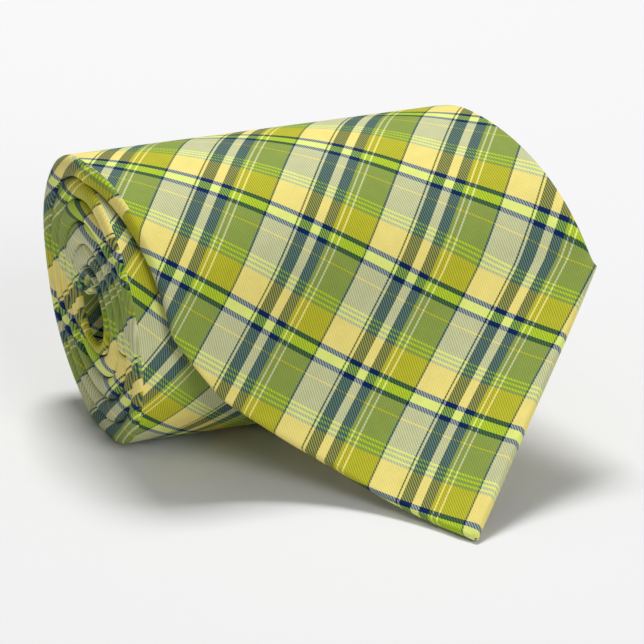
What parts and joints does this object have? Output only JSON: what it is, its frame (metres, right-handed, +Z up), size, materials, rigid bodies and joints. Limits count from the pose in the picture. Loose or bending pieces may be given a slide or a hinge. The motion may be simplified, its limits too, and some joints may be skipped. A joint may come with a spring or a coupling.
{
  "type": "necktie",
  "caption": "Plaid bias-cut necktie, folded in half and rolled up, with the pointed end of its wide blade unrolled onto the table.",
  "frame": {"origin": "under the middle of the whole object, on the surface that it rests on", "axes": "+X along the roll's axis, +Y away from the blade's point, which lies towards -Y, +Z up"},
  "size_m": [0.1154, 0.1302, 0.0726],
  "materials": {
    "tie_cloth": "fine twill with a soft sheen, woven plaid in greens, yellow, sage, teal and navy",
    "interlining": "matt brushed canvas",
    "tipping": "smooth satin lining",
    "thread": "twisted sewing thread",
    "label": "blank woven satin ribbon"
  },
  "bodies": {
    "roll": {"blade_cover": "tie_cloth", "blade_interlining": "interlining", "neck_cover": "tie_cloth", "blade_join_thread": "thread", "tail_join_thread": "thread", "tail_cover": "tie_cloth", "tail_interlining": "interlining", "tail_tipping": "tipping", "slip_stitch_thread": "thread", "blade_bar_tack": "thread", "tail_bar_tack": "thread", "keeper_loop": "tie_cloth", "keeper_tack_left": "thread", "keeper_tack_right": "thread", "care_label": "label"},
    "blade_end": {"blade_end_cover": "tie_cloth", "blade_end_interlining": "interlining", "blade_tipping": "tipping"}
  },
  "joints": [
    {"name": "blade_lift", "type": "hinge", "parent": "roll", "child": "blade_end", "pos_m": [0.02056, 0.02879, 0.0726], "axis": [-1, 0, 0], "range_deg": [0, 60]}
  ]
}
